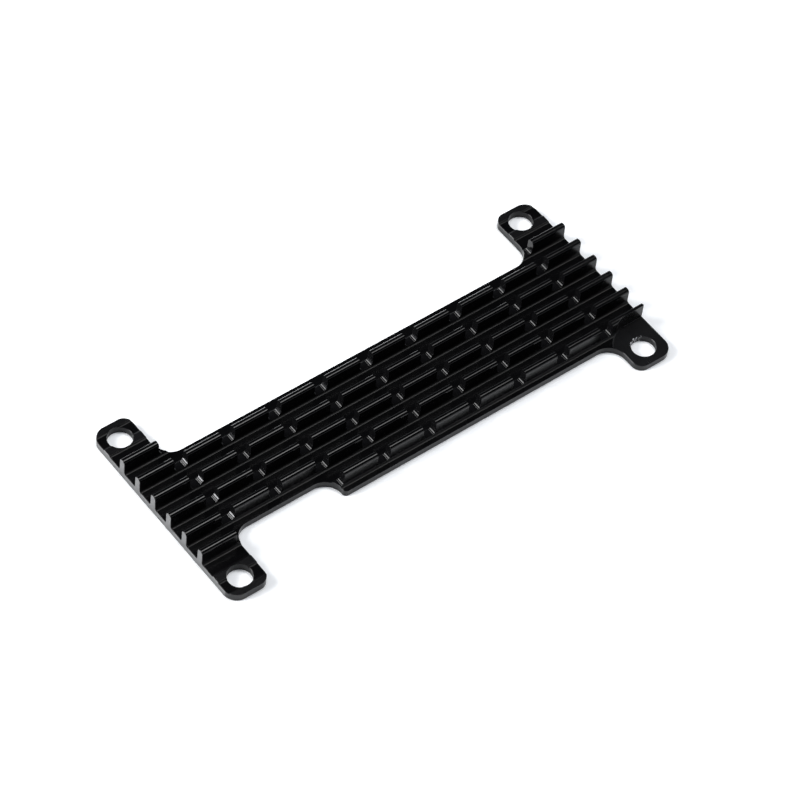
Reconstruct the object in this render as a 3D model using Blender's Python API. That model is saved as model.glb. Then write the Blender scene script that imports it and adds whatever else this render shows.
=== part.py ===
"""Black anodised aluminium heat sink for a credit-card sized single-board computer.

The real part is one piece of metal made in two stages. First a comb of fins on a thin floor is
extruded. Then a mill trims the comb to an outline with four screw ears, saws across the fins so
that each row becomes a line of short blocks, clears the ears flat and drills them. The model is
made in the same order: an extruded section, then one Boolean for each milling job.

+X runs along the fins, +Z points up from the flat underside, which lies at zero, and the origin
is the middle of the plate. All sizes are in metres.
"""

import math

import bmesh
import bpy
from mathutils import Matrix

# Screw holes, on the pattern of the board below
HOLE_SPACING_X = 0.0580
HOLE_SPACING_Y = 0.0230
HOLE_DIAMETER = 0.0030

# Metal from the middle of a screw hole to the edge of the plate, on each of the four sides
LEFT_MARGIN = 0.00255
RIGHT_MARGIN = 0.00275
FRONT_MARGIN = 0.00234
BACK_MARGIN = 0.00216

# Plate outline
LEFT_EAR_WIDTH = 0.0050
RIGHT_EAR_WIDTH = 0.0053
WAIST_EDGE = 0.0064
DEEP_RECESS_EDGE = 0.0060
SHALLOW_RECESS_EDGE = 0.00885
DEEP_RECESS_LENGTH = 0.0140
INNER_CORNER_RADIUS = 0.0023
EAR_OUTER_RADIUS = 0.0017
EAR_INNER_RADIUS = 0.0013
STEP_CORNER_RADIUS = 0.0005

# Extruded section
FLOOR_THICKNESS = 0.00092
FIN_HEIGHT = 0.00206
FIN_PITCH = 0.00299
FIN_ROOT_THICKNESS = 0.00090
FIN_TIP_THICKNESS = 0.00087
FIN_ROOT_FILLET = 0.00033
FIN_TIP_RADIUS = 0.00040

# The bar sat a little skewed and off centre in the vice, and so did the outline to the holes
EXTRUSION_SKEW = math.radians(-0.3)
EXTRUSION_OFFSET = -0.00006
OUTLINE_SKEW = math.radians(-0.14)

# Cuts across the fins: they stop this far short of the screw holes
CUT_HOLE_CLEARANCE = 0.0025
CUT_PITCH = 0.00648
CUT_WIDTH = 0.0018
CUT_CORNER_RADIUS = 0.00036
CUT_STUMP = 0.00020

# Flats milled on the ears for the screw heads, and the one that was milled deeper and wider
EAR_FLAT_DIAMETER = 0.0070
EAR_FLAT_STUMP = 0.00015
DEEP_FLAT_DIAMETER = 0.0072
DEEP_FLAT_BELOW_FLOOR = 0.00004

# Facets: the turn that one facet of each round may take
FILLET_STEP = math.radians(22.5)
OUTLINE_STEP = math.radians(11.25)
HOLE_FACETS = 40

# How far a cutter runs past the metal
OVERRUN = 0.0010

PLATE_LENGTH = HOLE_SPACING_X + LEFT_MARGIN + RIGHT_MARGIN
EAR_SPAN = HOLE_SPACING_Y + FRONT_MARGIN + BACK_MARGIN
TOTAL_HEIGHT = FLOOR_THICKNESS + FIN_HEIGHT
LEFT_END = -PLATE_LENGTH / 2
RIGHT_END = PLATE_LENGTH / 2
HOLE_PATTERN_X = (LEFT_MARGIN - RIGHT_MARGIN) / 2
HOLE_PATTERN_Y = (FRONT_MARGIN - BACK_MARGIN) / 2
CUTS_EACH_SIDE = math.floor((HOLE_SPACING_X / 2 - CUT_HOLE_CLEARANCE) / CUT_PITCH)
CUT_COUNT = 2 * CUTS_EACH_SIDE + 1
SHARP_ANGLE = math.radians(35)


def arc(center, radius, start, sweep, step):
    """Points on an arc, its two ends included, with facets that turn by no more than the step."""
    facets = max(1, math.ceil(abs(sweep) / step - 1e-6))
    points = []
    for index in range(facets + 1):
        angle = start + sweep * index / facets
        points.append((center[0] + radius * math.cos(angle), center[1] + radius * math.sin(angle)))
    return points


def rounded_outline(corners, step):
    """A closed outline from (x, y, radius) corners, each rounded within the walls beside it."""
    count = len(corners)
    sides = []
    for index in range(count):
        here = corners[index]
        after = corners[(index + 1) % count]
        length = math.dist(here[:2], after[:2])
        heading = math.atan2(after[1] - here[1], after[0] - here[0])
        sides.append((length, heading))
    turns = []
    setbacks = []
    for index in range(count):
        turn = sides[index][1] - sides[index - 1][1]
        turn = (turn + math.pi) % math.tau - math.pi
        turns.append(turn)
        setbacks.append(corners[index][2] * math.tan(abs(turn) / 2))
    points = []
    for index in range(count):
        x, y, radius = corners[index]
        before = sides[index - 1][0] / (setbacks[index - 1] + setbacks[index])
        after = sides[index][0] / (setbacks[index] + setbacks[(index + 1) % count])
        share = min(1.0, before, after)
        radius = radius * share
        setback = setbacks[index] * share
        heading = sides[index - 1][1]
        side = math.copysign(1.0, turns[index])
        start_x = x - setback * math.cos(heading)
        start_y = y - setback * math.sin(heading)
        center = (
            start_x - side * radius * math.sin(heading),
            start_y + side * radius * math.cos(heading),
        )
        start = heading - side * math.pi / 2
        points.extend(arc(center, radius, start, turns[index], step))
    return points


def prism(name, outline, axis, start, end):
    """A closed solid: an outline in the XY plane pushed along Z, or one in YZ pushed along X."""
    shape = bmesh.new()
    if axis == "Z":
        base = [shape.verts.new((u, v, start)) for u, v in outline]
        travel = (0.0, 0.0, end - start)
    else:
        base = [shape.verts.new((start, u, v)) for u, v in outline]
        travel = (end - start, 0.0, 0.0)
    bottom = shape.faces.new(base)
    pushed = bmesh.ops.extrude_face_region(shape, geom=[bottom], use_keep_orig=True)
    top = [item for item in pushed["geom"] if isinstance(item, bmesh.types.BMVert)]
    bmesh.ops.translate(shape, verts=top, vec=travel)
    bmesh.ops.recalc_face_normals(shape, faces=shape.faces)
    mesh = bpy.data.meshes.new(name)
    shape.to_mesh(mesh)
    shape.free()
    return mesh


def add_object(name, mesh):
    mesh.shade_smooth()
    mesh.set_sharp_from_angle(angle=SHARP_ANGLE)
    thing = bpy.data.objects.new(name, mesh)
    bpy.context.scene.collection.objects.link(thing)
    return thing


def join_meshes(name, meshes):
    """One mesh from several closed ones that don't touch."""
    shape = bmesh.new()
    for mesh in meshes:
        shape.from_mesh(mesh)
        bpy.data.meshes.remove(mesh)
    joined = bpy.data.meshes.new(name)
    shape.to_mesh(joined)
    shape.free()
    return joined


def cut(target, name, mesh, operation="DIFFERENCE"):
    """A milling job: a hidden cutter and the Boolean that applies it."""
    cutter = add_object(name, mesh)
    cutter.hide_render = True
    cutter.display_type = "WIRE"
    boolean = target.modifiers.new(name, "BOOLEAN")
    boolean.operation = operation
    boolean.solver = "EXACT"
    boolean.object = cutter


def fin_profile(middle):
    """One fin, from the foot of its fillet at -Y, over its round tip, to the foot at +Y."""
    half_root = FIN_ROOT_THICKNESS / 2
    half_tip = FIN_TIP_THICKNESS / 2
    foot = half_root + FIN_ROOT_FILLET
    fillet_height = FLOOR_THICKNESS + FIN_ROOT_FILLET
    tip_height = TOTAL_HEIGHT - FIN_TIP_RADIUS
    tip_middle = half_tip - FIN_TIP_RADIUS
    quarter = math.pi / 2
    points = arc((middle - foot, fillet_height), FIN_ROOT_FILLET, -quarter, quarter, FILLET_STEP)
    points += arc((middle - tip_middle, tip_height), FIN_TIP_RADIUS, math.pi, -quarter, FILLET_STEP)
    points += arc((middle + tip_middle, tip_height), FIN_TIP_RADIUS, quarter, -quarter, FILLET_STEP)
    points += arc((middle + foot, fillet_height), FIN_ROOT_FILLET, math.pi, quarter, FILLET_STEP)
    return points


def extruded_section():
    """The comb as it leaves the die, with a valley on its middle line and fins past both ears."""
    fins_each_side = math.ceil((EAR_SPAN / 2 + OVERRUN) / FIN_PITCH)
    half_width = fins_each_side * FIN_PITCH
    outline = [(-half_width, 0.0), (-half_width, FLOOR_THICKNESS)]
    for row in range(-fins_each_side, fins_each_side):
        outline += fin_profile((row + 0.5) * FIN_PITCH)
    outline += [(half_width, FLOOR_THICKNESS), (half_width, 0.0)]
    return outline


def plate_outline():
    """The milled edge, counterclockwise from the ear at -X and -Y."""
    half_span = EAR_SPAN / 2
    left_inner = LEFT_END + LEFT_EAR_WIDTH
    right_inner = RIGHT_END - RIGHT_EAR_WIDTH
    step = left_inner + DEEP_RECESS_LENGTH
    corners = [
        (LEFT_END, -half_span, EAR_OUTER_RADIUS),
        (left_inner, -half_span, EAR_INNER_RADIUS),
        (left_inner, -DEEP_RECESS_EDGE, INNER_CORNER_RADIUS),
        (step, -DEEP_RECESS_EDGE, INNER_CORNER_RADIUS),
        (step, -SHALLOW_RECESS_EDGE, STEP_CORNER_RADIUS),
        (right_inner, -SHALLOW_RECESS_EDGE, INNER_CORNER_RADIUS),
        (right_inner, -half_span, EAR_INNER_RADIUS),
        (RIGHT_END, -half_span, EAR_OUTER_RADIUS),
        (RIGHT_END, half_span, EAR_OUTER_RADIUS),
        (right_inner, half_span, EAR_INNER_RADIUS),
        (right_inner, WAIST_EDGE, INNER_CORNER_RADIUS),
        (left_inner, WAIST_EDGE, INNER_CORNER_RADIUS),
        (left_inner, half_span, EAR_INNER_RADIUS),
        (LEFT_END, half_span, EAR_OUTER_RADIUS),
    ]
    return rounded_outline(corners, OUTLINE_STEP)


def hole_centers():
    """The four screw holes as (x, y, side along X, side along Y)."""
    centers = []
    for side_x in (-1, 1):
        for side_y in (-1, 1):
            x = HOLE_PATTERN_X + side_x * HOLE_SPACING_X / 2
            y = HOLE_PATTERN_Y + side_y * HOLE_SPACING_Y / 2
            centers.append((x, y, side_x, side_y))
    return centers


def cross_cutter(center):
    """A cutter along Y with two rounded lower corners, one cut wide."""
    half = CUT_WIDTH / 2
    bottom = FLOOR_THICKNESS + CUT_STUMP
    top = TOTAL_HEIGHT + OVERRUN
    radius = CUT_CORNER_RADIUS
    section = [(center - half, top)]
    section += arc((center - half + radius, bottom + radius), radius, math.pi, math.pi / 2, FILLET_STEP)
    section += arc((center + half - radius, bottom + radius), radius, -math.pi / 2, math.pi / 2, FILLET_STEP)
    section.append((center + half, top))
    reach = EAR_SPAN / 2 + OVERRUN
    mesh = prism("cross_cut", section, "X", -reach, reach)
    # The section was drawn in YZ and pushed along X: a quarter turn sets it across the fins
    mesh.transform(Matrix.Rotation(-math.pi / 2, 4, "Z"))
    return mesh


def ear_flat_cutter(x, y, side_x, side_y):
    """The path of the end mill: it comes in past the end of the plate and stops at the hole."""
    radius = EAR_FLAT_DIAMETER / 2
    bottom = FLOOR_THICKNESS + EAR_FLAT_STUMP
    if side_x > 0 and side_y < 0:
        radius = DEEP_FLAT_DIAMETER / 2
        bottom = FLOOR_THICKNESS - DEEP_FLAT_BELOW_FLOOR
    path = arc((x, y), radius, side_x * math.pi / 2, math.pi, OUTLINE_STEP)
    past_end = side_x * (PLATE_LENGTH / 2 + OVERRUN)
    path += [(past_end, y - side_x * radius), (past_end, y + side_x * radius)]
    return prism("ear_flat", path, "Z", bottom, TOTAL_HEIGHT + OVERRUN)


def hole_cutter(x, y):
    shape = bmesh.new()
    length = FLOOR_THICKNESS + 2 * OVERRUN
    bmesh.ops.create_cone(
        shape,
        cap_ends=True,
        segments=HOLE_FACETS,
        radius1=HOLE_DIAMETER / 2,
        radius2=HOLE_DIAMETER / 2,
        depth=length,
        matrix=Matrix.Translation((x, y, FLOOR_THICKNESS / 2)),
    )
    mesh = bpy.data.meshes.new("screw_hole")
    shape.to_mesh(mesh)
    shape.free()
    return mesh


def anodised_aluminium():
    material = bpy.data.materials.new("black_anodised_aluminium")
    material.use_nodes = True
    surface = material.node_tree.nodes["Principled BSDF"]
    surface.inputs["Base Color"].default_value = (0.018, 0.018, 0.020, 1.0)
    surface.inputs["Roughness"].default_value = 0.42
    surface.inputs["Metallic"].default_value = 0.35
    return material


def build_heat_sink():
    half_length = PLATE_LENGTH / 2 + OVERRUN
    bar = prism("heat_sink", extruded_section(), "X", -half_length, half_length)
    bar.transform(Matrix.Rotation(EXTRUSION_SKEW, 4, "Z"))
    bar.transform(Matrix.Translation((0.0, EXTRUSION_OFFSET, 0.0)))
    heat_sink = add_object("heat_sink", bar)
    heat_sink.data.materials.append(anodised_aluminium())

    outline = prism("outline", plate_outline(), "Z", -OVERRUN, TOTAL_HEIGHT + OVERRUN)
    outline.transform(Matrix.Rotation(OUTLINE_SKEW, 4, "Z"))
    cut(heat_sink, "outline", outline, operation="INTERSECT")

    cutters = []
    for index in range(CUT_COUNT):
        center = HOLE_PATTERN_X + (index - (CUT_COUNT - 1) / 2) * CUT_PITCH
        cutters.append(cross_cutter(center))
    cut(heat_sink, "cross_cuts", join_meshes("cross_cuts", cutters))

    flats = [ear_flat_cutter(*center) for center in hole_centers()]
    cut(heat_sink, "ear_flats", join_meshes("ear_flats", flats))

    holes = [hole_cutter(x, y) for x, y, side_x, side_y in hole_centers()]
    cut(heat_sink, "screw_holes", join_meshes("screw_holes", holes))


for old in list(bpy.data.objects):
    bpy.data.objects.remove(old, do_unlink=True)

build_heat_sink()
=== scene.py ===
# %% [markdown]
# A heat sink for a small single-board computer: one piece of black anodised aluminium, about
# 63 mm long and 3 mm high. Six rows of low fins stand on a thin floor, nine saw cuts part each
# row into short blocks, and four ears carry the screw holes. It lies on a white table.
# The first cell loads the solid model, which is the fixed frame that everything here fits to.

import math

import bpy
from mathutils import Matrix, Vector


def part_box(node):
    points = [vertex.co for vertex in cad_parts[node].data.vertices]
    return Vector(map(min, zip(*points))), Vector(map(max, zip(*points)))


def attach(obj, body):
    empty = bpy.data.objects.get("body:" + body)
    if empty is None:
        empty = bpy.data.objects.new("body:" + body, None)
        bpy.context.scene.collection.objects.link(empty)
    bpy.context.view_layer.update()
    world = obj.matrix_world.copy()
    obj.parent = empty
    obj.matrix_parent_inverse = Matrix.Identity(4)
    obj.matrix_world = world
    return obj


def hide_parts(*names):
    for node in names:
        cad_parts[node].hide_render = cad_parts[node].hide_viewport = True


MM = 0.001

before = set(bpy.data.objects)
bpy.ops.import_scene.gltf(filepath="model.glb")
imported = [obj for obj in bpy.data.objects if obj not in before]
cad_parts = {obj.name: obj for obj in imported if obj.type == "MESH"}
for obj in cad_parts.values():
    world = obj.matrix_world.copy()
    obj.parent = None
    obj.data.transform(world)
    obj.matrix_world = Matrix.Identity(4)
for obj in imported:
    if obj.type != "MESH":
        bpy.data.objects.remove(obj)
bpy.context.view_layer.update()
low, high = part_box("heat_sink")
print("solid model, mm:", [round((b - a) / MM, 2) for a, b in zip(low, high)])

# %% [markdown]
# The camera comes first, so that every later step can be judged from the right place. The
# photograph was taken from far away with a long lens, from the side of the left end, looking
# down at about 52 degrees. The camera is placed by three angles and one distance rather than
# by eye: "back" points from the plate to the camera, and the camera rolls a little about it.

# %% Camera at the angle of the photograph
AZIMUTH = math.radians(-43.068)
ELEVATION = math.radians(51.621)
ROLL = math.radians(7.123)
DISTANCE = 415.1013 * MM
SIDEWAYS = -1.6413 * MM
UPWARDS = 0.4347 * MM
PATTERN_MIDDLE = Vector((-0.1 * MM, 0.09 * MM, 0))
LENS = 162.948
SENSOR = 36

back = Vector((
    math.sin(AZIMUTH) * math.cos(ELEVATION),
    -math.cos(AZIMUTH) * math.cos(ELEVATION),
    math.sin(ELEVATION),
))
level = Vector((math.cos(AZIMUTH), math.sin(AZIMUTH), 0))
upright = back.cross(level)
right = math.cos(ROLL) * level + math.sin(ROLL) * upright
up = math.cos(ROLL) * upright - math.sin(ROLL) * level

eye = PATTERN_MIDDLE - SIDEWAYS * right - UPWARDS * up + DISTANCE * back
turn = Matrix((right, up, back)).transposed()

camera = bpy.data.objects.new("camera", bpy.data.cameras.new("camera"))
bpy.context.scene.collection.objects.link(camera)
camera.matrix_world = Matrix.Translation(eye) @ turn.to_4x4()
camera.data.lens = LENS
camera.data.sensor_width = SENSOR
camera.data.clip_start = 10 * MM
bpy.context.scene.camera = camera
print("camera, mm:", [round(v / MM, 1) for v in eye])

# %% [markdown]
# Every size below was read off the photograph through that camera, with the 58 by 23 mm screw
# pattern as the ruler. They are the sizes of the solid model too, so the finer model made here
# lies on it. It departs in two places, as the picture shows them: the inner wall of the left
# front ear stands 0.2 mm nearer the middle, and the lower corners of the saw cuts are flatter.
# Two small angles matter: the fins run 0.3 degrees off the screw pattern, and the outline 0.14
# degrees, as the bar never sits perfectly in the vice.

# %% Sizes in millimetres
HOLE_X = (-29.10, 28.90)
HOLE_Y = (-11.41, 11.59)
HOLE_RADIUS = 1.5

LENGTH = 63.30
SPAN = 27.50
LEFT_EAR = 5.0
RIGHT_EAR = 5.3
DEEP_RECESS = 14.0
LEFT_INNER = -LENGTH / 2 + LEFT_EAR
LEFT_INNER_FRONT = LEFT_INNER + 0.2
RIGHT_INNER = LENGTH / 2 - RIGHT_EAR
STEP_X = LEFT_INNER + DEEP_RECESS
WAIST_Y = 6.4
DEEP_Y = -6.0
SHALLOW_Y = -8.85

# Radii of the outline: at the four far corners, beside the recesses, inside them, at the step
END_CORNER = 1.7
EAR_CORNER = 1.3
RECESS_CORNER = 2.3
STEP_CORNER = 0.5

FLOOR = 0.92
FIN = 2.06
TOP = FLOOR + FIN
PITCH = 2.99
ROOT = 0.90
TIP = 0.87
ROOT_FILLET = 0.33
TIP_RADIUS = 0.40
FIN_SKEW = math.radians(-0.3)
FIN_OFFSET = -0.06
OUTLINE_SKEW = math.radians(-0.14)

CUTS = 9
CUT_PITCH = 6.48
CUT_WIDTH = 1.8
CUT_CORNER = 0.36
CUT_FLOOR = FLOOR + 0.20
CUTS_MIDDLE = (HOLE_X[0] + HOLE_X[1]) / 2

FLAT_RADIUS = 3.5
FLAT_FLOOR = FLOOR + 0.15
DEEP_FLAT_RADIUS = 3.6
DEEP_FLAT_FLOOR = FLOOR - 0.04

# How far a cutter reaches past what it cuts, and the width of the bevel that deburring leaves
PAST = 1.0
EDGE = 0.035
print("height", round(TOP, 2), "mm, fins every", PITCH, "mm")

# %% [markdown]
# A few helpers keep the modelling steps short. "shape" starts a piece from a basic solid,
# "pick" selects vertices, edges or faces by where they are and enters edit mode, and "apply"
# makes a modifier final. Selecting by place means that a step still finds its edges when a
# size changes, which fixed index numbers would not.

# %% Helpers for modelling
def shape(kind, name, **options):
    """Adds a basic solid and names it."""
    bpy.ops.object.select_all(action="DESELECT")
    adders = {
        "cube": bpy.ops.mesh.primitive_cube_add,
        "plane": bpy.ops.mesh.primitive_plane_add,
        "cylinder": bpy.ops.mesh.primitive_cylinder_add,
    }
    adders[kind](**options)
    bpy.context.object.name = name
    return bpy.context.object


def select_only(thing):
    bpy.ops.object.select_all(action="DESELECT")
    thing.select_set(True)
    bpy.context.view_layer.objects.active = thing


def pick(thing, kind, test=None):
    """Selects what passes the test, given the middle of each element and the element itself."""
    bpy.ops.object.mode_set(mode="OBJECT")
    select_only(thing)
    mesh = thing.data
    elements = {"VERT": mesh.vertices, "EDGE": mesh.edges, "FACE": mesh.polygons}
    for items in elements.values():
        items.foreach_set("select", [False] * len(items))
    found = 0
    for item in elements[kind]:
        if kind == "VERT":
            middle = item.co
        elif kind == "EDGE":
            a, b = [mesh.vertices[v].co for v in item.vertices]
            middle = (a + b) / 2
        else:
            middle = item.center
        if test is None or test(middle / MM, item):
            item.select = True
            found += 1
    bpy.context.tool_settings.mesh_select_mode = [kind == name for name in elements]
    bpy.ops.object.mode_set(mode="EDIT")
    return found


def done():
    """Leaves edit mode."""
    bpy.ops.object.mode_set(mode="OBJECT")


def grow(thing, size, center):
    """Scales a one millimetre solid to its size and moves it, inside edit mode."""
    pick(thing, "VERT")
    bpy.ops.transform.resize(value=size)
    bpy.ops.transform.translate(value=[v * MM for v in center])
    done()


def heading(thing, edge):
    """The direction in which an edge runs."""
    a, b = [thing.data.vertices[v].co for v in edge.vertices]
    return (b - a).normalized()


def apply(thing, modifier):
    bpy.context.view_layer.objects.active = thing
    bpy.ops.object.modifier_apply(modifier=modifier.name)


def repeat(thing, count, step):
    """Repeats a piece along a step in millimetres, and merges the seams between the copies."""
    array = thing.modifiers.new("repeat", "ARRAY")
    array.count = count
    array.use_relative_offset = False
    array.use_constant_offset = True
    array.constant_offset_displace = [v * MM for v in step]
    array.use_merge_vertices = True
    array.merge_threshold = 0.01 * MM
    apply(thing, array)


def settle(thing):
    """Makes an object's place and turn part of its mesh, so that it sits at the origin."""
    select_only(thing)
    bpy.ops.object.transform_apply(location=True, rotation=True, scale=True)


def near(a, b, slack=0.01):
    """Whether two lengths in millimetres are the same."""
    return abs(a - b) < slack


# %% [markdown]
# The finishes are needed before the modelling, because each face should remember how it was
# made. The skin of the extrusion, which runs along the fins, was anodised as drawn, so it is
# dark and smooth. Faces that a mill, a saw or a drill has opened are a little rougher, and the
# two sawn ends are the palest. When a cutter wears such a finish, the Boolean passes it on to
# the walls that it leaves. Marks that several finishes share are made first, as node groups.

# %% Shared node groups
def group(name, outputs, inputs=()):
    """An empty node group with its sockets, all of them numbers, and its output node."""
    tree = bpy.data.node_groups.new(name, "ShaderNodeTree")
    for title, value in inputs:
        socket = tree.interface.new_socket(title, in_out="INPUT", socket_type="NodeSocketFloat")
        socket.default_value = value
    for title in outputs:
        tree.interface.new_socket(title, in_out="OUTPUT", socket_type="NodeSocketFloat")
    return tree, tree.nodes.new("NodeGroupOutput")


def placed(tree, shared):
    """Places a shared group in another tree and returns its outputs."""
    node = tree.nodes.new("ShaderNodeGroup")
    node.node_tree = shared
    return node.outputs


def math_node(tree, operation, *values):
    """A Math node. Each value is a number or the output of another node."""
    node = tree.nodes.new("ShaderNodeMath")
    node.operation = operation
    for socket, value in zip(node.inputs, values):
        if isinstance(value, (int, float)):
            socket.default_value = value
        else:
            tree.links.new(value, socket)
    return node.outputs[0]


def stretch_range(tree, value, low_in, high_in, low_out, high_out):
    """Turns one range of a value into another, and holds it at the ends."""
    node = tree.nodes.new("ShaderNodeMapRange")
    tree.links.new(value, node.inputs["Value"])
    node.inputs["From Min"].default_value = low_in
    node.inputs["From Max"].default_value = high_in
    node.inputs["To Min"].default_value = low_out
    node.inputs["To Max"].default_value = high_out
    return node.outputs["Result"]


def taken_apart(tree, vector):
    parts = tree.nodes.new("ShaderNodeSeparateXYZ")
    tree.links.new(vector, parts.inputs[0])
    return parts.outputs


def object_place(tree):
    """The shaded point's X, Y and Z on the object, in metres."""
    coords = tree.nodes.new("ShaderNodeTexCoord")
    return taken_apart(tree, coords.outputs["Object"])


def stretched_noise(tree, stretch, detail=3.0, turned=0.0):
    """Noise on object coordinates, with its own scale along each axis in cycles per metre."""
    coords = tree.nodes.new("ShaderNodeTexCoord")
    mapping = tree.nodes.new("ShaderNodeMapping")
    mapping.vector_type = "TEXTURE"
    mapping.inputs["Rotation"].default_value = (0.0, 0.0, turned)
    mapping.inputs["Scale"].default_value = [1.0 / v for v in stretch]
    noise = tree.nodes.new("ShaderNodeTexNoise")
    noise.inputs["Scale"].default_value = 1.0
    noise.inputs["Detail"].default_value = detail
    tree.links.new(coords.outputs["Object"], mapping.inputs["Vector"])
    tree.links.new(mapping.outputs["Vector"], noise.inputs["Vector"])
    return noise.outputs["Fac"]


# Wear along the edges: where a rounded normal leaves the true one, an edge is near
edge_group, end = group("edge_wear", ["Mask"], [("Radius", 0.06 * MM)])
start = edge_group.nodes.new("NodeGroupInput")
rounded = edge_group.nodes.new("ShaderNodeBevel")
rounded.samples = 4
edge_group.links.new(start.outputs["Radius"], rounded.inputs["Radius"])
geometry = edge_group.nodes.new("ShaderNodeNewGeometry")
dot = edge_group.nodes.new("ShaderNodeVectorMath")
dot.operation = "DOT_PRODUCT"
edge_group.links.new(rounded.outputs[0], dot.inputs[0])
edge_group.links.new(geometry.outputs["Normal"], dot.inputs[1])
edge = stretch_range(edge_group, dot.outputs["Value"], 0.995, 0.90, 0.0, 1.0)
patches = stretched_noise(edge_group, (900.0, 900.0, 900.0))
patches = stretch_range(edge_group, patches, 0.42, 0.62, 0.15, 1.0)
edge_group.links.new(math_node(edge_group, "MULTIPLY", edge, patches), end.inputs["Mask"])

# Grain of the anodised layer: fine pits and a slow change of sheen from place to place
grain_group, end = group("anodised_grain", ["Fine", "Slow"])
fine = stretched_noise(grain_group, (9000.0, 9000.0, 9000.0), detail=2.0)
slow = stretched_noise(grain_group, (260.0, 500.0, 500.0), detail=2.0)
grain_group.links.new(fine, end.inputs["Fine"])
grain_group.links.new(slow, end.inputs["Slow"])

# Lines drawn along the bar by the die, and lines left across it by the saw
line_group, end = group("tool_lines", ["Along", "Across"])
along = stretched_noise(line_group, (25.0, 6000.0, 6000.0), turned=FIN_SKEW)
across = stretched_noise(line_group, (4200.0, 90.0, 1500.0))
line_group.links.new(along, end.inputs["Along"])
line_group.links.new(across, end.inputs["Across"])

# Steps that the saw leaves in the rounded corners of its cuts. A whole number of them fits
# between two cuts, so the cuts are alike. The first cut has a painted highlight, a pale band
# along the top of the corner and fainter lines on the ridges below it. The mask reads how far
# a face leans towards -X, which leaves out the floor of the cut and its upright walls.
STEPS_PER_CUT = 19
STEP_SHIFT = 0.62
ONLY_FIRST_CUT = -24.0
BAND_FOOT = CUT_FLOOR + 0.22
saw_group, end = group("saw_steps", ["Height", "PaintedHighlight"])
place = object_place(saw_group)
geometry = saw_group.nodes.new("ShaderNodeNewGeometry")
facing = taken_apart(saw_group, geometry.outputs["Normal"])
wave = 2 * math.pi * STEPS_PER_CUT / (CUT_PITCH * MM)
shift = 2 * math.pi * (STEP_SHIFT - CUTS_MIDDLE * STEPS_PER_CUT / CUT_PITCH)
turns = math_node(saw_group, "MULTIPLY_ADD", place["X"], wave, shift)
steps = math_node(saw_group, "MULTIPLY_ADD", math_node(saw_group, "SINE", turns), 0.5, 0.5)
slope = math_node(saw_group, "MULTIPLY", facing["X"], -1)
corner = stretch_range(saw_group, slope, 0.10, 0.30, 0.0, 1.0)
wall = stretch_range(saw_group, slope, 0.90, 0.98, 1.0, 0.0)
corner = math_node(saw_group, "MULTIPLY", corner, wall)
first = stretch_range(
    saw_group, place["X"], ONLY_FIRST_CUT * MM, (ONLY_FIRST_CUT - 0.5) * MM, 0.0, 1.0
)
band = stretch_range(saw_group, place["Z"], BAND_FOOT * MM, (BAND_FOOT + 0.04) * MM, 0.0, 1.0)
ridges = stretch_range(saw_group, steps, 0.75, 0.90, 0.0, 0.2)
bright = math_node(saw_group, "MULTIPLY", math_node(saw_group, "MAXIMUM", band, ridges), corner)
first = math_node(saw_group, "MULTIPLY", first, bright)
saw_group.links.new(math_node(saw_group, "MULTIPLY", steps, corner), end.inputs["Height"])
saw_group.links.new(first, end.inputs["PaintedHighlight"])

# Below the tips, which handling polishes, the layer is duller, most of all in the filled
# corners at the foot of each fin. The floor between the fins has only a fifth of it.
TIP_FOOT = TOP - TIP_RADIUS
FLOOR_SHARE = 0.20
CORNER_SHARE = 1.7
dull_group, end = group("below_the_tips", ["Mask"])
height = object_place(dull_group)["Z"]
below = stretch_range(dull_group, height, (TIP_FOOT - 0.05) * MM, TIP_FOOT * MM, 1.0, 0.0)
above = stretch_range(
    dull_group, height, (FLOOR + 0.001) * MM, (FLOOR + 0.008) * MM, FLOOR_SHARE, 1.0
)
corner = stretch_range(
    dull_group, height, (FLOOR + 0.20) * MM, (FLOOR + ROOT_FILLET) * MM, CORNER_SHARE, 1.0
)
walls = math_node(dull_group, "MULTIPLY", below, above)
dull_group.links.new(math_node(dull_group, "MULTIPLY", walls, corner), end.inputs["Mask"])

# Chips along the rim of the hole in the deeper ear, where the drill broke the layer: flakes of
# noise in a thin ring about the hole, on its upper left side only
chip_group, end = group("rim_chips", ["Mask"])
place = object_place(chip_group)
off_x = math_node(chip_group, "SUBTRACT", place["X"], HOLE_X[1] * MM)
off_y = math_node(chip_group, "SUBTRACT", place["Y"], HOLE_Y[0] * MM)
squares = [math_node(chip_group, "MULTIPLY", off, off) for off in (off_x, off_y)]
reach = math_node(chip_group, "SQRT", math_node(chip_group, "ADD", *squares))
off_rim = math_node(chip_group, "SUBTRACT", reach, (HOLE_RADIUS + 0.01) * MM)
off_rim = math_node(chip_group, "ABSOLUTE", off_rim)
rim = stretch_range(chip_group, off_rim, 0.06 * MM, 0.10 * MM, 1.0, 0.0)
upper = stretch_range(chip_group, off_y, 0.9 * MM, 1.0 * MM, 0.0, 1.0)
left = stretch_range(chip_group, off_x, 0.6 * MM, 0.8 * MM, 1.0, 0.0)
flakes = stretched_noise(chip_group, (5200.0, 5200.0, 3000.0), detail=1.0)
flakes = stretch_range(chip_group, flakes, 0.54, 0.58, 0.0, 1.0)
chips = math_node(chip_group, "MULTIPLY", math_node(chip_group, "MULTIPLY", rim, upper), left)
chip_group.links.new(math_node(chip_group, "MULTIPLY", chips, flakes), end.inputs["Mask"])
print("node groups:", [g.name for g in bpy.data.node_groups])

# %% [markdown]
# Anodising is a thin hard layer of dyed oxide over bright metal. Almost nothing comes back
# from inside it, so its base colour is close to black, and what the camera sees is the
# reflection of the room at the surface. The index of refraction sets how strong that is: the
# walls mirror the white table at a flat angle, and a low index keeps them as dark as they are
# in the picture. Worn edges turn grey, where the dye is thin, and chips show bare metal.

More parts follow.
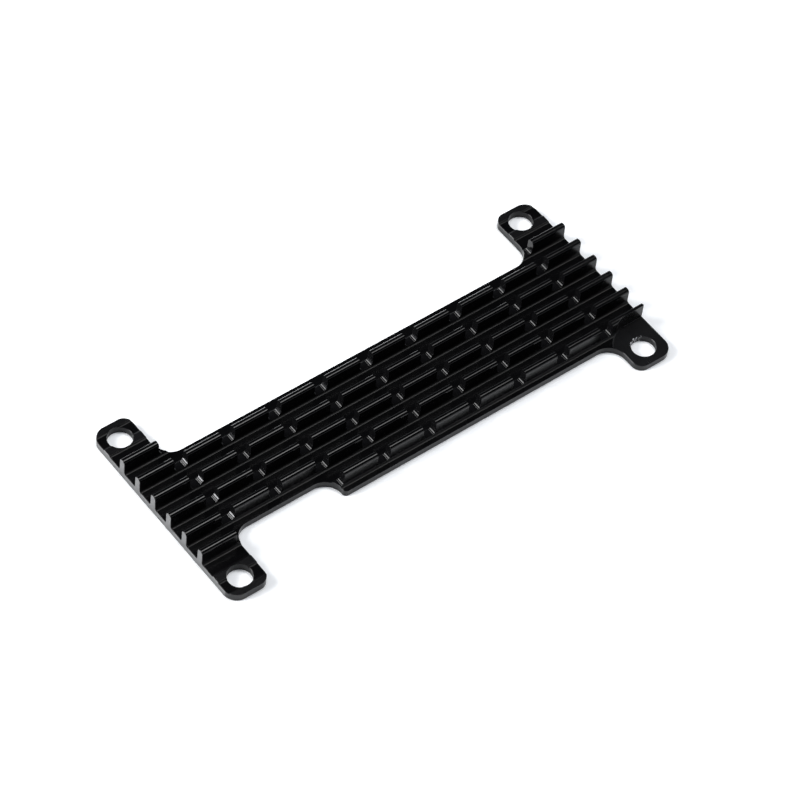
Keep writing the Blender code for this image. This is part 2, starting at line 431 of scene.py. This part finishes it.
# %% The finishes
SHEEN_LOW = -0.02
SHEEN_HIGH = 0.03
STREAKS = 0.02
WORN_ROUGHNESS = 0.12
LINE_HEIGHT = 0.7
PIT_HEIGHT = 0.5
DULLER_BELOW = 0.20
STEP_DEPTH = 0.027
BARE_ROUGHNESS = 0.4
BARE = (0.62, 0.62, 0.64, 1)
# A pale grey painted into the first saw cut as its highlight
PAINTED_HIGHLIGHT = (0.52, 0.52, 0.53, 1)
OPENED = (0.0045, 0.0045, 0.0050, 1)
WORN = (0.03, 0.03, 0.032, 1)


def surface_of(finish):
    return finish.node_tree.nodes["Principled BSDF"]


def source_of(socket):
    """The output that feeds a socket, so that a new node can be put between the two."""
    return socket.links[0].from_socket


def add_bump(finish, height, depth):
    """Puts relief on a surface, over the relief that it has already. The depth is in mm."""
    tree = finish.node_tree
    normal = surface_of(finish).inputs["Normal"]
    bump = tree.nodes.new("ShaderNodeBump")
    bump.inputs["Strength"].default_value = 1.0
    bump.inputs["Distance"].default_value = depth * MM
    if normal.is_linked:
        tree.links.new(source_of(normal), bump.inputs["Normal"])
    tree.links.new(height, bump.inputs["Height"])
    tree.links.new(bump.outputs["Normal"], normal)


def anodised(name, ior, roughness, line, depth, dye=OPENED, worn=WORN):
    """A dyed layer with lines from one tool, "Along" or "Across" the bar, and worn edges."""
    finish = bpy.data.materials.new(name)
    finish.use_nodes = True
    tree = finish.node_tree
    surface = surface_of(finish)
    surface.inputs["IOR"].default_value = ior
    wear = placed(tree, edge_group)["Mask"]
    grain = placed(tree, grain_group)
    lines = placed(tree, line_group)[line]

    colour = tree.nodes.new("ShaderNodeMix")
    colour.data_type = "RGBA"
    colour.inputs["A"].default_value = dye
    colour.inputs["B"].default_value = worn
    tree.links.new(wear, colour.inputs["Factor"])
    tree.links.new(colour.outputs["Result"], surface.inputs["Base Color"])

    sheen = stretch_range(
        tree, grain["Slow"], 0.3, 0.7, roughness + SHEEN_LOW, roughness + SHEEN_HIGH
    )
    streaks = stretch_range(tree, lines, 0.3, 0.7, -STREAKS, STREAKS)
    rough = math_node(tree, "ADD", sheen, streaks)
    worn_rough = math_node(tree, "MULTIPLY", wear, WORN_ROUGHNESS)
    tree.links.new(math_node(tree, "ADD", rough, worn_rough), surface.inputs["Roughness"])

    relief = math_node(tree, "MULTIPLY", lines, LINE_HEIGHT)
    pits = math_node(tree, "MULTIPLY", grain["Fine"], PIT_HEIGHT)
    add_bump(finish, math_node(tree, "ADD", relief, pits), depth)
    return finish


def lay_bare_or_painted_highlight(finish, mask, colour):
    """Mixes a pale colour into a finish wherever the mask is white: bare metal at chips, a painted
    highlight in the first saw cut.
    """
    tree = finish.node_tree
    surface = surface_of(finish)
    for title, kind, value in (
        ("Base Color", "RGBA", colour),
        ("Roughness", "FLOAT", BARE_ROUGHNESS),
    ):
        mix = tree.nodes.new("ShaderNodeMix")
        mix.data_type = kind
        tree.links.new(source_of(surface.inputs[title]), mix.inputs["A"])
        mix.inputs["B"].default_value = value
        tree.links.new(mask, mix.inputs["Factor"])
        tree.links.new(mix.outputs["Result"], surface.inputs[title])


skin = anodised(
    "black_anodised_skin", ior=1.36, roughness=0.11, line="Along", depth=0.0006,
    dye=(0.0018, 0.0018, 0.0021, 1), worn=(0.012, 0.012, 0.013, 1),
)
tree = skin.node_tree
polish = surface_of(skin).inputs["Roughness"]
dull = math_node(tree, "MULTIPLY", placed(tree, dull_group)["Mask"], DULLER_BELOW)
tree.links.new(math_node(tree, "ADD", source_of(polish), dull), polish)

milled = anodised(
    "black_anodised_milled", ior=1.35, roughness=0.14, line="Across", depth=0.0025
)

cut = anodised("black_anodised_cut", ior=1.36, roughness=0.12, line="Across", depth=0.0015)
# The first saw cut gets a pale painted highlight in the corner, along the band and the step ridges
saw = placed(cut.node_tree, saw_group)
lay_bare_or_painted_highlight(cut, saw["PaintedHighlight"], PAINTED_HIGHLIGHT)
add_bump(cut, saw["Height"], STEP_DEPTH)

sawn = anodised(
    "black_anodised_sawn", ior=1.82, roughness=0.20, line="Across", depth=0.0025,
    dye=(0.0300, 0.0300, 0.0310, 1), worn=(0.06, 0.06, 0.062, 1),
)
faced = anodised(
    "black_anodised_ear_flat", ior=1.50, roughness=0.24, line="Across", depth=0.0020,
    dye=(0.0046, 0.0046, 0.0052, 1),
)
bored = anodised(
    "black_anodised_bore", ior=1.30, roughness=0.40, line="Across", depth=0.0040,
    dye=(0.0030, 0.0030, 0.0035, 1),
)
for finish in (faced, bored):
    lay_bare_or_painted_highlight(finish, placed(finish.node_tree, chip_group)["Mask"], BARE)
print("finishes:", [m.name for m in (skin, milled, cut, sawn, faced, bored)])

# %% [markdown]
# The comb of fins is drawn as a bar from a die, so it has one section all along. One tile of
# it is modelled: a slab one pitch wide, with two cuts that mark the fin, an extrusion that
# raises it, a bevel that rounds its tip and another that fills its two inner corners. The
# tile is then repeated with an Array modifier, which merges each tile with the next. Ten rows
# reach over the ears too, where the end mills will leave only a trace of the outer ones.

# %% One tile of the extruded bar
ROWS = 10
bar_length = LENGTH + 2 * PAST
bar = shape("cube", "heat_sink_visual", size=MM)
grow(bar, (bar_length, PITCH, FLOOR), (0, 0, FLOOR / 2))

for side in (-1, 1):
    pick(bar, "FACE")
    bpy.ops.mesh.bisect(plane_co=(0, side * ROOT / 2 * MM, 0), plane_no=(0, 1, 0))
pick(bar, "FACE", lambda m, f: f.normal.z > 0.9 and near(m.y, 0))
bpy.ops.mesh.extrude_region_move(TRANSFORM_OT_translate={"value": (0, 0, FIN * MM)})
bpy.ops.transform.resize(value=(1, TIP / ROOT, 1))

tips = pick(bar, "EDGE", lambda m, e: near(m.z, TOP) and abs(heading(bar, e).x) > 0.9)
bpy.ops.mesh.bevel(offset=TIP_RADIUS * MM, segments=8, profile=0.5, affect="EDGES")
roots = pick(
    bar, "EDGE",
    lambda m, e: near(m.z, FLOOR) and near(abs(m.y), ROOT / 2) and abs(heading(bar, e).x) > 0.9,
)
bpy.ops.mesh.bevel(offset=ROOT_FILLET * MM, segments=6, profile=0.5, affect="EDGES")
print("tip edges", tips, "root edges", roots)

pick(bar, "FACE", lambda m, f: abs(f.normal.y) > 0.9 and near(abs(m.y), PITCH / 2))
bpy.ops.mesh.delete(type="FACE")
done()
repeat(bar, ROWS, (0, PITCH, 0))

pick(bar, "VERT")
bpy.ops.transform.translate(value=(0, -PITCH * (ROWS - 1) / 2 * MM, 0))
bpy.ops.mesh.select_all(action="DESELECT")
bpy.ops.mesh.select_non_manifold()
bpy.ops.mesh.edge_face_add()
bpy.ops.mesh.select_all(action="SELECT")
bpy.ops.mesh.normals_make_consistent(inside=False)
done()
bar.rotation_euler.z = FIN_SKEW
bar.location.y = FIN_OFFSET * MM
settle(bar)
bar.data.materials.append(skin)
print("bar:", len(bar.data.polygons), "faces,", ROWS, "rows")

# %% [markdown]
# The outline is milled last of all on the real part, with the bar lying flat. As a model it
# starts from a rectangle. Cuts along the lines of the recesses turn it into a grid, the cells
# of the recesses are deleted, and the rest is joined into one face and raised into a block.
# Then each group of upright edges gets its own radius: wide inside, small outside.

# %% Outline of the plate
outline = shape("plane", "outline", size=MM)
grow(outline, (LENGTH, SPAN, 1), (0, 0, -PAST))
grid = [((x, 0, 0), (1, 0, 0)) for x in (LEFT_INNER, LEFT_INNER_FRONT, STEP_X, RIGHT_INNER)]
grid += [((0, y, 0), (0, 1, 0)) for y in (WAIST_Y, DEEP_Y, SHALLOW_Y)]
for place, normal in grid:
    pick(outline, "FACE")
    bpy.ops.mesh.bisect(plane_co=[v * MM for v in place], plane_no=normal)


def in_a_recess(middle, face):
    inner = LEFT_INNER if middle.y > 0 else LEFT_INNER_FRONT
    if not inner < middle.x < RIGHT_INNER:
        return False
    edge_y = DEEP_Y if middle.x < STEP_X else SHALLOW_Y
    return middle.y > WAIST_Y or middle.y < edge_y


removed = pick(outline, "FACE", in_a_recess)
bpy.ops.mesh.delete(type="FACE")
pick(outline, "FACE")
bpy.ops.mesh.dissolve_limited(angle_limit=math.radians(1))
pick(outline, "FACE")
bpy.ops.mesh.extrude_region_move(TRANSFORM_OT_translate={"value": (0, 0, (TOP + 2 * PAST) * MM)})
pick(outline, "FACE")
bpy.ops.mesh.normals_make_consistent(inside=False)


def upright_edges(places):
    def test(middle, edge):
        at_place = any(near(middle.x, x) and near(middle.y, y) for x, y in places)
        return at_place and abs(heading(outline, edge).z) > 0.9
    return pick(outline, "EDGE", test)


ends = (-LENGTH / 2, LENGTH / 2)
sides = (-SPAN / 2, SPAN / 2)
radii = [
    (END_CORNER, [(x, y) for x in ends for y in sides]),
    (EAR_CORNER, [(LEFT_INNER, SPAN / 2), (LEFT_INNER_FRONT, -SPAN / 2)]),
    (EAR_CORNER, [(RIGHT_INNER, y) for y in sides]),
    (RECESS_CORNER, [(LEFT_INNER, WAIST_Y), (RIGHT_INNER, WAIST_Y), (RIGHT_INNER, SHALLOW_Y)]),
    (RECESS_CORNER, [(LEFT_INNER_FRONT, DEEP_Y), (STEP_X, DEEP_Y)]),
    (STEP_CORNER, [(STEP_X, SHALLOW_Y)]),
]
for radius, places in radii:
    found = upright_edges(places)
    bpy.ops.mesh.bevel(offset=radius * MM, segments=12, profile=0.5, affect="EDGES")
    print("radius", radius, "on", found, "corners")
done()
outline.rotation_euler.z = OUTLINE_SKEW
settle(outline)

outline.data.materials.append(milled)
outline.data.materials.append(sawn)
end_faces = pick(
    outline, "FACE", lambda m, f: abs(f.normal.x) > 0.99 and abs(m.x) > LENGTH / 2 - 0.5
)
outline.active_material_index = 1
bpy.ops.object.material_slot_assign()
done()
print("sawn ends:", end_faces)
print("recess cells removed:", removed)

# %% [markdown]
# Three kinds of cutter do the rest of the work: a saw blade with worn corners that crosses
# the fins, an end mill that comes in from each end and stops at the screw hole, and a drill.
# Each is modelled once. The blade is repeated by an Array, and the mill and the drill are
# copied to the four ears, turned about for the left end. One ear was milled deeper. A low
# profile value in the blade's bevel makes its corners flatter than a true round.

# %% Cutters
ROUND = 96
MILL_DRAWN_OUT = 5
DRILL_LENGTH = 6

blade = shape("cube", "cross_cuts", size=MM)
blade_height = TOP + PAST - CUT_FLOOR
grow(blade, (CUT_WIDTH, SPAN + 2 * PAST, blade_height), (0, 0, CUT_FLOOR + blade_height / 2))
pick(blade, "EDGE", lambda m, e: near(m.z, CUT_FLOOR) and abs(heading(blade, e).y) > 0.9)
bpy.ops.mesh.bevel(offset=CUT_CORNER * MM, segments=6, profile=0.3, affect="EDGES")
done()
repeat(blade, CUTS, (CUT_PITCH, 0, 0))
blade.location.x = (CUTS_MIDDLE - CUT_PITCH * (CUTS - 1) / 2) * MM
settle(blade)
blade.data.materials.append(cut)


def end_mill(name, radius, bottom):
    """Half a cylinder about the origin, whose flat side is drawn out along +X."""
    height = TOP + PAST - bottom
    mill = shape("cylinder", name, vertices=ROUND, radius=radius * MM, depth=height * MM)
    pick(mill, "VERT")
    bpy.ops.transform.translate(value=(0, 0, (bottom + height / 2) * MM))
    bpy.ops.mesh.bisect(plane_co=(0, 0, 0), plane_no=(1, 0, 0), use_fill=True, clear_outer=True)
    pick(mill, "FACE", lambda m, f: f.normal.x > 0.99 and near(m.x, 0))
    bpy.ops.mesh.extrude_region_move(TRANSFORM_OT_translate={"value": (MILL_DRAWN_OUT * MM, 0, 0)})
    pick(mill, "FACE")
    bpy.ops.mesh.normals_make_consistent(inside=False)
    done()
    mill.data.materials.append(faced)
    return mill


def place_copy(source, x, y, turned):
    copy = source.copy()
    copy.data = source.data.copy()
    bpy.context.scene.collection.objects.link(copy)
    copy.location = (x * MM, y * MM, 0)
    copy.rotation_euler.z = math.pi if turned else 0
    settle(copy)
    return copy


common = end_mill("ear_flat", FLAT_RADIUS, FLAT_FLOOR)
deeper = end_mill("deeper_ear_flat", DEEP_FLAT_RADIUS, DEEP_FLAT_FLOOR)
drill = shape(
    "cylinder", "screw_hole", vertices=ROUND, radius=HOLE_RADIUS * MM, depth=DRILL_LENGTH * MM
)
drill.data.materials.append(bored)
cutters = [blade]
for x in HOLE_X:
    for y in HOLE_Y:
        source = deeper if x > 0 and y < 0 else common
        cutters.append(place_copy(source, x, y, turned=x < 0))
        cutters.append(place_copy(drill, x, y, turned=False))
for source in (common, deeper, drill):
    bpy.data.objects.remove(source, do_unlink=True)
print("cutters:", len(cutters))

# %% [markdown]
# Now the jobs are done in the order of the workshop: first the outline, then the saw cuts,
# then the ears. Each one is a Boolean modifier with the exact solver, applied at once. The
# material mode "TRANSFER" is what hands the cutter's finish to the new walls.

# %% Mill the bar
def mill(operation, tool):
    job = bar.modifiers.new(tool.name, "BOOLEAN")
    job.operation = operation
    job.solver = "EXACT"
    job.material_mode = "TRANSFER"
    job.object = tool
    apply(bar, job)
    bpy.data.objects.remove(tool, do_unlink=True)


mill("INTERSECT", outline)
for tool in cutters:
    mill("DIFFERENCE", tool)
print("after milling:", len(bar.data.polygons), "faces")

# %% [markdown]
# Deburring leaves a fine bevel that catches the light on every sharp edge, apart from those of
# the saw cuts, which stayed sharp. A weight on each edge tells the bevel which ones to take.
# Merging before and after it clears the slivers that the cutters and the bevel leave. At the
# end the shading is made smooth across the rounds, with flat faces kept flat.

# %% Deburr the edges and smooth the rounds
WELD = 0.002
SLIVER = 0.0002
FLAT_ANGLE = math.radians(0.5)
SHARP_ANGLE = math.radians(40)
SMOOTH_ANGLE = math.radians(20)

pick(bar, "VERT")
bpy.ops.mesh.remove_doubles(threshold=WELD * MM)
bpy.ops.mesh.dissolve_limited(angle_limit=FLAT_ANGLE, delimit={"MATERIAL"})

pick(bar, "EDGE", lambda m, e: False)
bpy.ops.mesh.edges_select_sharp(sharpness=SHARP_ANGLE)
done()
saw_marks = [m.name for m in bar.data.materials].index(cut.name)
beside_cuts = {k for f in bar.data.polygons if f.material_index == saw_marks for k in f.edge_keys}
deburred = [float(e.select and e.key not in beside_cuts) for e in bar.data.edges]
weights = bar.data.attributes.new("bevel_weight_edge", "FLOAT", "EDGE")
weights.data.foreach_set("value", deburred)

deburr = bar.modifiers.new("deburr", "BEVEL")
deburr.width = EDGE * MM
deburr.segments = 1
deburr.use_clamp_overlap = False
deburr.limit_method = "WEIGHT"
apply(bar, deburr)
pick(bar, "VERT")
bpy.ops.mesh.remove_doubles(threshold=SLIVER * MM)
bpy.ops.mesh.dissolve_degenerate(threshold=SLIVER * MM)
done()
print("edges deburred:", int(sum(deburred)), "left sharp by the saw:", len(beside_cuts))

select_only(bar)
bpy.ops.object.shade_smooth_by_angle(angle=SMOOTH_ANGLE)
flatter = bar.modifiers.new("flatter", "WEIGHTED_NORMAL")
flatter.mode = "FACE_AREA"
flatter.weight = 100
flatter.keep_sharp = True
apply(bar, flatter)
bar.data.name = "heat_sink_visual"
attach(bar, "root")
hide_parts("heat_sink")
corners = [bar.matrix_world @ Vector(bar.bound_box[i]) / MM for i in (0, 6)]
print("visual piece, mm:", [[round(v, 3) for v in corner] for corner in corners])
print("faces", len(bar.data.polygons), "materials", [m.name for m in bar.data.materials])

# %% [markdown]
# The table is a sheet of white paper, larger than any view of it. The camera and the
# reflections in the metal see it a little paler than white, as the overexposed backdrop of a
# product picture, and the short shadow stays on it. For every other ray it is ordinary pale
# paper, so it does not flood the part with light. From below it lets the camera through, and
# a reflection that meets it within 0.06 mm passes too, so that the underside, which almost
# touches the paper, mirrors the room below and can be inspected.

# %% Floor
PAPER_SIZE = 6
PAPER_TOP = -0.02
PASSES_WITHIN = 0.06
PLAIN_PAPER = (0.8, 0.8, 0.8, 1)
BACKDROP = (1.10, 1.10, 1.10, 1)

floor = shape("plane", "floor", size=PAPER_SIZE, location=(0, 0, PAPER_TOP * MM))
paper = bpy.data.materials.new("white_paper")
paper.use_nodes = True
tree = paper.node_tree
tree.nodes.clear()
path = tree.nodes.new("ShaderNodeLightPath").outputs
seen = math_node(tree, "MAXIMUM", path["Is Camera Ray"], path["Is Glossy Ray"])
seen = math_node(tree, "MAXIMUM", seen, path["Is Transmission Ray"])
shade = tree.nodes.new("ShaderNodeMix")
shade.data_type = "RGBA"
shade.clamp_result = False
shade.inputs["A"].default_value = PLAIN_PAPER
shade.inputs["B"].default_value = BACKDROP
tree.links.new(seen, shade.inputs["Factor"])
matt = tree.nodes.new("ShaderNodeBsdfDiffuse")
tree.links.new(shade.outputs["Result"], matt.inputs["Color"])

clear = tree.nodes.new("ShaderNodeBsdfTransparent")
side = tree.nodes.new("ShaderNodeNewGeometry")
close = math_node(tree, "LESS_THAN", path["Ray Length"], PASSES_WITHIN * MM)
mirrored = math_node(tree, "MULTIPLY", close, path["Is Glossy Ray"])
choose = tree.nodes.new("ShaderNodeMixShader")
tree.links.new(math_node(tree, "MAXIMUM", side.outputs["Backfacing"], mirrored), choose.inputs[0])
tree.links.new(matt.outputs[0], choose.inputs[1])
tree.links.new(clear.outputs[0], choose.inputs[2])
out = tree.nodes.new("ShaderNodeOutputMaterial")
tree.links.new(choose.outputs[0], out.inputs["Surface"])
floor.data.materials.append(paper)
print("floor just below the plate, at", PAPER_TOP, "mm")

# %% [markdown]
# A black shiny part is lit by what it reflects. The room is dim overhead, which keeps the
# valleys and the sides of the fins black, and it has a pale band near the horizon, which the
# upright walls mirror. The white backdrop of the picture is the paper, which the metal does
# reflect. The room above it is white only where a view looks past the paper.

# %% World
PALE_BELOW = 0.12
DIM_ABOVE = 0.30
PALE = (0.90, 0.95, 1, 1)
DIM = (0.012, 0.012, 0.013, 1)

world = bpy.data.worlds.new("studio")
bpy.context.scene.world = world
world.use_nodes = True
tree = world.node_tree
tree.nodes.clear()
coords = tree.nodes.new("ShaderNodeTexCoord")
ramp = tree.nodes.new("ShaderNodeValToRGB")
for stop, position, colour in zip(
    ramp.color_ramp.elements, (PALE_BELOW, DIM_ABOVE), (PALE, DIM)
):
    stop.position = position
    stop.color = colour
tree.links.new(taken_apart(tree, coords.outputs["Generated"])["Z"], ramp.inputs[0])
path = tree.nodes.new("ShaderNodeLightPath").outputs
direct = math_node(tree, "MAXIMUM", path["Is Camera Ray"], path["Is Transmission Ray"])
white = tree.nodes.new("ShaderNodeMix")
white.data_type = "RGBA"
white.inputs["B"].default_value = (1, 1, 1, 1)
tree.links.new(direct, white.inputs["Factor"])
tree.links.new(ramp.outputs["Color"], white.inputs["A"])
sky = tree.nodes.new("ShaderNodeBackground")
tree.links.new(white.outputs["Result"], sky.inputs["Color"])
out = tree.nodes.new("ShaderNodeOutputWorld")
tree.links.new(sky.outputs[0], out.inputs["Surface"])
print("room: pale below a slope of", PALE_BELOW, "and dim above", DIM_ABOVE)

# %% [markdown]
# Round soft boxes give the light. The two overhead draw the bright line along each fin, and
# the larger one reaches past the smaller, so the line fades toward the far end instead of
# breaking off. The one at the side lights the rounded corners of the saw cuts and throws the
# short shadow to the right. The wash beside it lifts the paper alone, which keeps the shadow
# narrow, and the fill softens that shadow and tints it a little blue.

# %% Soft boxes
def soft_box(name, towards, distance, radius, radiance):
    """A disk that faces the origin and looks equally bright whatever its size."""
    direction = Vector(towards).normalized()
    data = bpy.data.lights.new(name, "AREA")
    data.shape = "DISK"
    data.size = 2 * radius
    data.energy = radiance * math.pi * math.pi * radius * radius
    box = bpy.data.objects.new(name, data)
    bpy.context.scene.collection.objects.link(box)
    box.location = direction * distance
    box.rotation_mode = "QUATERNION"
    box.rotation_quaternion = direction.to_track_quat("Z", "Y")
    share = radiance * radius ** 2 / (radius ** 2 + distance ** 2) * direction.z
    print(name, "lights the table by about", round(share, 2))
    return box


FROM_THE_SIDE = (-0.74, 0.45, 0.50)
soft_box("overhead", (0.28, -0.02, 0.96), distance=0.6, radius=0.09, radiance=4.5)
soft_box("halo", (0.30, -0.05, 0.953), distance=0.599, radius=0.15, radiance=4.8)
soft_box("side", FROM_THE_SIDE, distance=0.6, radius=0.18, radiance=10.5)
wash = soft_box("wash", FROM_THE_SIDE, distance=0.601, radius=0.18, radiance=3.4)
fill = soft_box("fill", (0.0, 0.0, 1.0), distance=0.6, radius=0.35, radiance=1.3)
fill.data.color = (0.93, 0.99, 1.07)
for box in (wash, fill):
    box.visible_glossy = False

bpy.context.scene.view_settings.view_transform = "Standard"

# %% [markdown]
